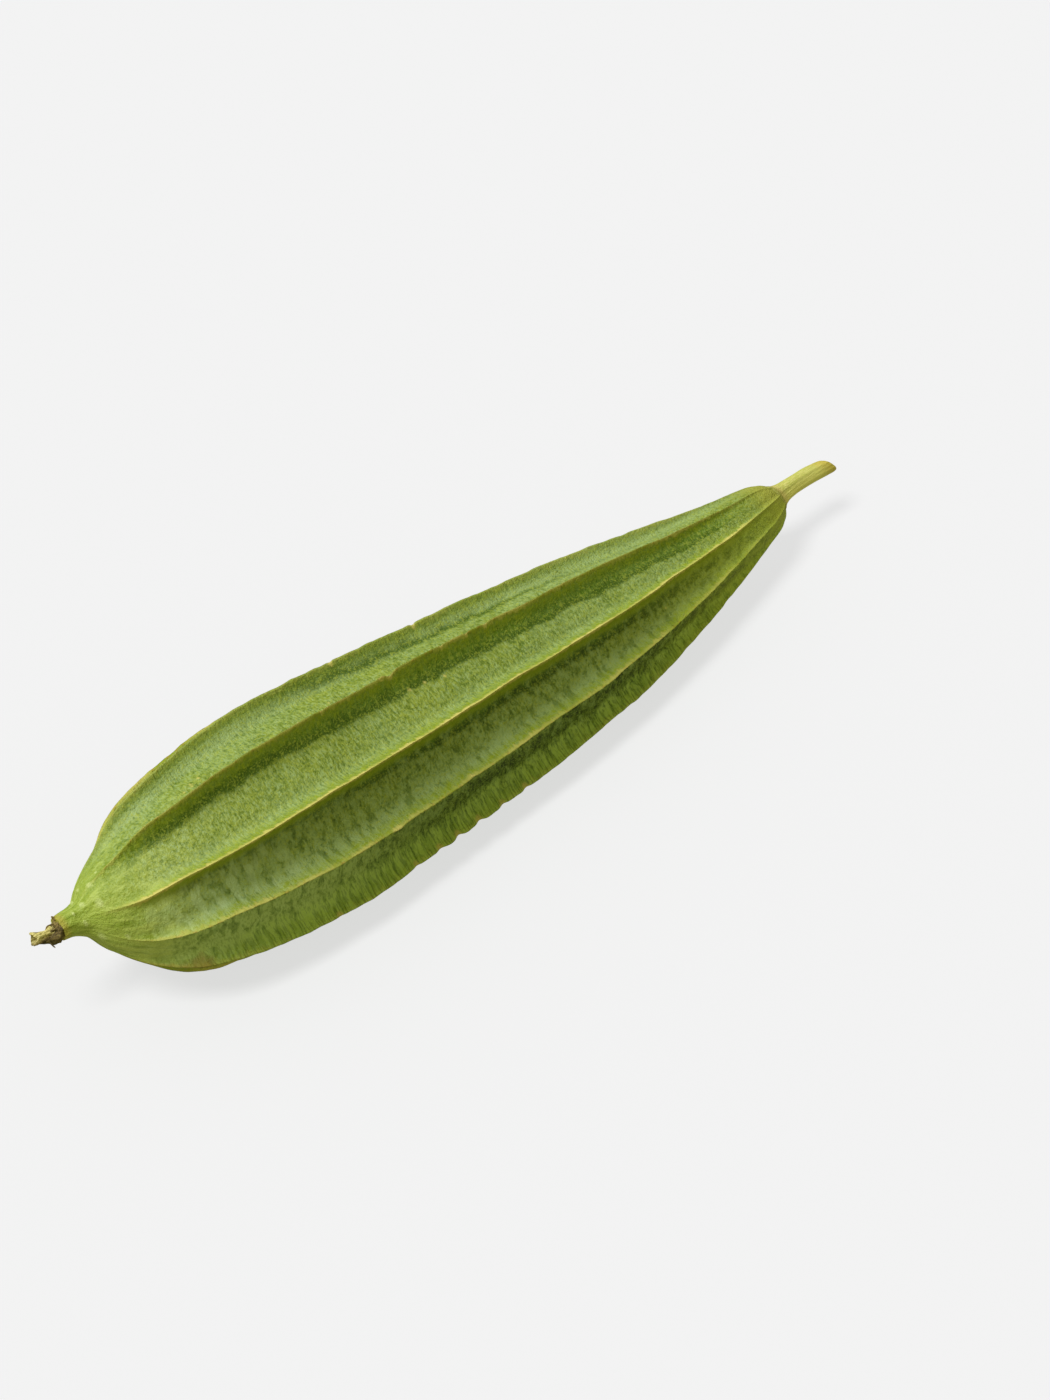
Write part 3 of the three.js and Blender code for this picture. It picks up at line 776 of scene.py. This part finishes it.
style_finish, shader, paint = new_finish("dry_style", 0.75)
grown = paint.attribute("grown", "Vector")
out_along = grown.part(2)
side = grown.part(0)
fibre = paint.cloud(grown.stretched((1.0, 1.0, 0.22)), 2.6, 3.0, 0.6)
stain = paint.cloud(grown, 0.9, 3.0, 0.6)
colour = paint.plain(DRY_STRAW)
colour = colour.tint(fibre.step(0.42, 0.62) * 0.6, PALE_STRAW)
colour = colour.tint(fibre.step(0.44, 0.3) * 0.7, BROWN_FIBRE)
colour = colour.tint((side + (stain - 0.5) * 2.4).step(0.2, -1.1) * 0.75, BROWN_SIDE)
colour = colour.tint((out_along + (stain - 0.5) * 2.0).step(7.8, 8.5) * 0.7, BROWN_MOUTH)
colour = colour.tint(stain.step(0.62, 0.72) * 0.6, RED_STAIN)
feed(shader, "Base Color", colour)
roughen(shader, fibre + stain * 0.6, 0.8, 0.0003)
style.data.materials.append(style_finish)
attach(style, "root")
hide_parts("dried_style")


# The withered calyx: five sepals that have shrunk to brown rags round the foot of the style. Most
# hang crumpled on its lower side; one lies along its top, and the stub of one stands up at the neck.

SLEEVE_RADIUS = 2.35
SLEEVE_LENGTH = 4.8
SLEEVE_ROOT = -0.5
SLEEVE_WALL = 0.3
RAG_WALL = 0.24
DARK_BROWN = (0.075, 0.050, 0.010, 1)
LIGHT_BROWN = (0.21, 0.15, 0.04, 1)
BLACK_BROWN = (0.030, 0.022, 0.006, 1)
OLIVE_STAIN = (0.26, 0.22, 0.06, 1)
STRAW_SIDE = (0.27, 0.20, 0.06, 1)

bpy.ops.object.select_all(action="DESELECT")
bpy.ops.mesh.primitive_cylinder_add(
    vertices=36, radius=SLEEVE_RADIUS, depth=SLEEVE_LENGTH, end_fill_type="NOTHING",
    location=(0, 0, SLEEVE_ROOT + SLEEVE_LENGTH / 2),
)
calyx = bpy.context.object
calyx.name = calyx.data.name = "withered_calyx"
bpy.ops.object.transform_apply(location=True)
bpy.ops.object.mode_set(mode="EDIT")
bpy.ops.mesh.select_all(action="SELECT")
bpy.ops.mesh.subdivide(number_cuts=9)
bpy.ops.object.mode_set(mode="OBJECT")
sleeve = points_of(calyx)
turn_round = np.arctan2(sleeve[:, 1], sleeve[:, 0])
down_side = 0.5 - 0.5 * np.cos(turn_round)
up_the_tube = (sleeve[:, 2] - SLEEVE_ROOT) / SLEEVE_LENGTH
bulge = 1 + 0.5 * down_side * np.sin(math.pi * np.clip(up_the_tube * 0.85 + 0.12, 0, 1))
bulge -= 0.3 * (1 - down_side) * ease(up_the_tube, 0.1, 0.6) + 0.28 * ease(up_the_tube, 0.55, 1)
ruck = np.array([
    noise.noise(Vector((point[0] * 0.9, point[1] * 0.9, point[2] * 0.55))) for point in sleeve
])
fold = np.array([noise.noise(Vector(point) * 1.9) for point in sleeve])
sleeve[:, :2] *= (bulge + 0.3 * ruck + 0.17 * fold)[:, None]
sleeve[:, 2] = SLEEVE_ROOT + (sleeve[:, 2] - SLEEVE_ROOT) * (0.38 + 0.8 * down_side**2)
sleeve[:, 2] += (0.9 * np.cos(5 * turn_round + 0.6) + 1.2 * ruck) * ease(up_the_tube, 0.5, 1) * 0.8
calyx.data.vertices.foreach_set("co", sleeve.ravel())
apply_modifier(calyx, "SOLIDIFY", thickness=SLEEVE_WALL, offset=-1)
apply_modifier(calyx, "SUBSURF", levels=1, render_levels=1)

# Each rag: where it lies round the style, where it starts and how long and wide it is, how far it
# stands off the style at its foot and tip, and how much it curls.
RAGS = [
    (0.1, -0.3, 7.2, 1.1, 1.5, 1.35, 0.4), (2.45, 0.2, 6.8, 2.0, 2.4, 1.7, 1.2),
    (3.2, -0.2, 6.2, 2.4, 2.9, 2.1, -1.0), (3.75, 0.1, 6.6, 1.9, 2.6, 1.7, 1.1),
    (5.2, -0.3, 2.4, 1.6, 2.2, 1.8, -0.6), (1.1, -0.3, 2.6, 1.6, 2.2, 2.6, 0.8),
]
rags = []
for number, (lies, start, length, wide, foot_off, tip_off, curl) in enumerate(RAGS):
    bpy.ops.object.select_all(action="DESELECT")
    bpy.ops.mesh.primitive_grid_add(x_subdivisions=18, y_subdivisions=8, size=1)
    rag = bpy.context.object
    sheet = points_of(rag)
    out, over = sheet[:, 0] + 0.5, sheet[:, 1] * 2
    narrow = wide * (1 - 0.8 * out**1.6) * (1 + 0.25 * np.sin(9 * out + number))
    stand = foot_off + (tip_off - foot_off) * out + 0.35 * np.sin(7 * out + 2 * number)
    stand += curl * 0.35 * over**2
    crumple = np.array([
        noise.noise(Vector((far * 3.1, aside * 1.7, number * 3.7))) for far, aside in zip(out, over)
    ])
    stand += 0.7 * crumple
    swing = lies + over * narrow / 2 / np.maximum(stand, 1.2) + 0.25 * np.sin(4 * out + number)
    reach = start + length * out + 0.4 * crumple
    sheet[:, 0] = stand * np.cos(swing) + STYLE_LIFT * (np.maximum(reach, 0) / STYLE_LENGTH) ** 2
    sheet[:, 1] = stand * np.sin(swing)
    sheet[:, 2] = reach
    rag.data.vertices.foreach_set("co", sheet.ravel())
    apply_modifier(rag, "SOLIDIFY", thickness=RAG_WALL, offset=0)
    apply_modifier(rag, "SUBSURF", levels=1, render_levels=1)
    rags.append(rag)

# A stub of sepal at the neck's upper edge, and one dry thread below: thin tapered rods, each with its
# start, its end, how thick it is and how far it sags.
STUB = ((2.3, -1.2, -0.3), (3.8, -1.3, 0.5), 0.6, 0.1)
THREAD = ((-1.8, -1.2, 4.6), (-4.4, -1.6, 4.2), 0.34, 0.3)
for start, stop, thick, sag in (STUB, THREAD):
    bpy.ops.object.select_all(action="DESELECT")
    bpy.ops.mesh.primitive_cylinder_add(vertices=10, radius=1, depth=1, location=(0, 0, 0.5))
    rod = bpy.context.object
    bpy.ops.object.transform_apply(location=True)
    bpy.ops.object.mode_set(mode="EDIT")
    for share_up in (0.33, 0.66):
        bpy.ops.mesh.select_all(action="SELECT")
        bpy.ops.mesh.bisect(plane_co=(0, 0, share_up), plane_no=(0, 0, 1))
    bpy.ops.object.mode_set(mode="OBJECT")
    apply_modifier(rod, "SUBSURF", levels=2, render_levels=2)
    stick = points_of(rod)
    run = Vector(stop) - Vector(start)
    turn = run.to_track_quat("Z", "X").to_matrix()
    share_along = np.clip(stick[:, 2], 0, 1)
    uneven = np.array([noise.noise(Vector(point) * 3) for point in stick])
    stick[:, :2] *= (thick * (1 - 0.65 * share_along) * (1 + 0.5 * uneven))[:, None]
    stick[:, 2] *= run.length
    stick = stick @ np.array(turn).T + np.array(start)
    stick[:, 1] += sag * np.sin(math.pi * share_along)
    rod.data.vertices.foreach_set("co", stick.ravel())
    rags.append(rod)

bpy.ops.object.select_all(action="DESELECT")
for rag in rags:
    rag.select_set(True)
calyx.select_set(True)
bpy.context.view_layer.objects.active = calyx
bpy.ops.object.join()
keep_grown(calyx)
set_in_place(calyx, growing_place(0, -1))

calyx_finish, shader, paint = new_finish("dry_calyx", 0.8)
grown = paint.attribute("grown", "Vector")
side = grown.part(0)
fibre = paint.cloud(grown.stretched((1.0, 1.0, 0.3)), 2.2, 3.0, 0.65)
stain = paint.cloud(grown, 0.8, 3.0, 0.6)
colour = paint.plain(DARK_BROWN)
colour = colour.tint(fibre.step(0.45, 0.65) * 0.7, LIGHT_BROWN)
colour = colour.tint(stain.step(0.5, 0.35) * 0.7, BLACK_BROWN)
colour = colour.tint(stain.step(0.58, 0.7) * 0.6, OLIVE_STAIN)
colour = colour.tint((side + (stain - 0.5) * 2.0).step(-0.6, 1.6) * 0.55, STRAW_SIDE)
feed(shader, "Base Color", colour)
roughen(shader, fibre + stain * 0.7, 0.9, 0.0004)
calyx.data.materials.clear()
calyx.data.materials.append(calyx_finish)
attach(calyx, "root")
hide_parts("dried_calyx")


# Floor: a plain pale sheet that keeps a soft, faint shadow, under a pale dome that closes the view.
# Neither throws light on the gourd, so its lower sides stay as deep as under one wide lamp.

PALE = (0.896, 0.896, 0.896, 1)
UNLIT_FLOOR = (0.671, 0.671, 0.671, 1)
FLOOR_IN_LAMPLIGHT = (0.188, 0.194, 0.418, 1)
SHEET_RADIUS = 9

bpy.ops.object.select_all(action="DESELECT")
bpy.ops.mesh.primitive_circle_add(vertices=96, radius=SHEET_RADIUS, fill_type="NGON")
floor = bpy.context.object
floor.name = "pale_floor"
floor_finish, shader, paint = new_finish("pale_paper", 1.0)
shader.inputs["Base Color"].default_value = FLOOR_IN_LAMPLIGHT
shader.inputs["Specular IOR Level"].default_value = 0.0
shader.inputs["Emission Color"].default_value = UNLIT_FLOOR
shader.inputs["Emission Strength"].default_value = 1.0
floor.data.materials.append(floor_finish)

bpy.ops.mesh.primitive_uv_sphere_add(segments=64, ring_count=32, radius=SHEET_RADIUS)
dome = bpy.context.object
dome.name = "pale_dome"
bpy.ops.object.mode_set(mode="EDIT")
bpy.ops.mesh.select_all(action="SELECT")
bpy.ops.mesh.bisect(plane_co=(0, 0, 0), plane_no=(0, 0, 1), clear_inner=True)
bpy.ops.object.mode_set(mode="OBJECT")
dome_finish, shader, paint = new_finish("pale_air", 1.0)
shader.inputs["Base Color"].default_value = (0, 0, 0, 1)
shader.inputs["Specular IOR Level"].default_value = 0.0
shader.inputs["Emission Color"].default_value = PALE
shader.inputs["Emission Strength"].default_value = 1.0
dome.data.materials.append(dome_finish)
for sheet in (floor, dome):
    sheet.visible_diffuse = False
    sheet.visible_glossy = False
    sheet.visible_transmission = False
dome.visible_shadow = False

# Light: one wide soft lamp overhead, a little behind, in a dim even room.
bpy.ops.object.light_add(type="SUN", location=(-0.3, 0.3, 1.2))
lamp = bpy.context.object
lamp.name = "soft_lamp"
lamp.data.angle = math.radians(55)
lamp.data.energy = 3.4
lamp.rotation_euler = Vector((0.38, -0.24, -0.9)).to_track_quat("-Z", "Y").to_euler()

# The floor has a lamp of its own, from the front, so that its shadow stays close under the gourd.
bpy.ops.object.light_add(type="SUN", location=(-0.3, -0.3, 1.2))
floor_lamp = bpy.context.object
floor_lamp.name = "floor_lamp"
floor_lamp.data.angle = math.radians(16)
floor_lamp.data.energy = 2.8
floor_lamp.data.color = (1, 0.97, 0.45)
floor_lamp.rotation_euler = Vector((0.40, 0.30, -0.86)).to_track_quat("-Z", "Y").to_euler()
for light, name, state in ((lamp, "all_but_floor", "EXCLUDE"), (floor_lamp, "floor_only", "INCLUDE")):
    lit = bpy.data.collections.new(name)
    lit.objects.link(floor)
    lit.collection_objects[0].light_linking.link_state = state
    light.light_linking.receiver_collection = lit

room = bpy.data.worlds.new("dim_room")
room.use_nodes = True
walls = room.node_tree.nodes["Background"]
walls.inputs["Color"].default_value = (1, 0.97, 0.45, 1)
walls.inputs["Strength"].default_value = 0.42
bpy.context.scene.world = room
bpy.context.scene.view_settings.view_transform = "Standard"

# Camera: from the flower end, above the side that shows, tilted so that the stem points up.
AZIMUTH = math.radians(31.07)
ELEVATION = math.radians(37.91)
ROLL = math.radians(14.03)
DISTANCE = 1.4
MIDDLE_HEIGHT = 0.033
AIM_RIGHT = 0.0193
AIM_UP = -0.0005
back = Vector((
    -math.sin(AZIMUTH) * math.cos(ELEVATION),
    -math.cos(AZIMUTH) * math.cos(ELEVATION),
    math.sin(ELEVATION),
))
level_right = Vector((0, 0, 1)).cross(back).normalized()
level_up = back.cross(level_right)
picture_right = math.cos(ROLL) * level_right - math.sin(ROLL) * level_up
picture_up = math.sin(ROLL) * level_right + math.cos(ROLL) * level_up
aim = Vector((0, 0, MIDDLE_HEIGHT)) + picture_right * AIM_RIGHT + picture_up * AIM_UP
bpy.ops.object.camera_add()
camera = bpy.context.object
camera.name = "camera"
camera.data.lens = 125.56
camera.data.sensor_width = 36
camera.data.clip_end = 100
camera.matrix_world = Matrix.Translation(aim + back * DISTANCE) @ Matrix(
    (picture_right, picture_up, back)
).transposed().to_4x4()
bpy.context.scene.camera = camera
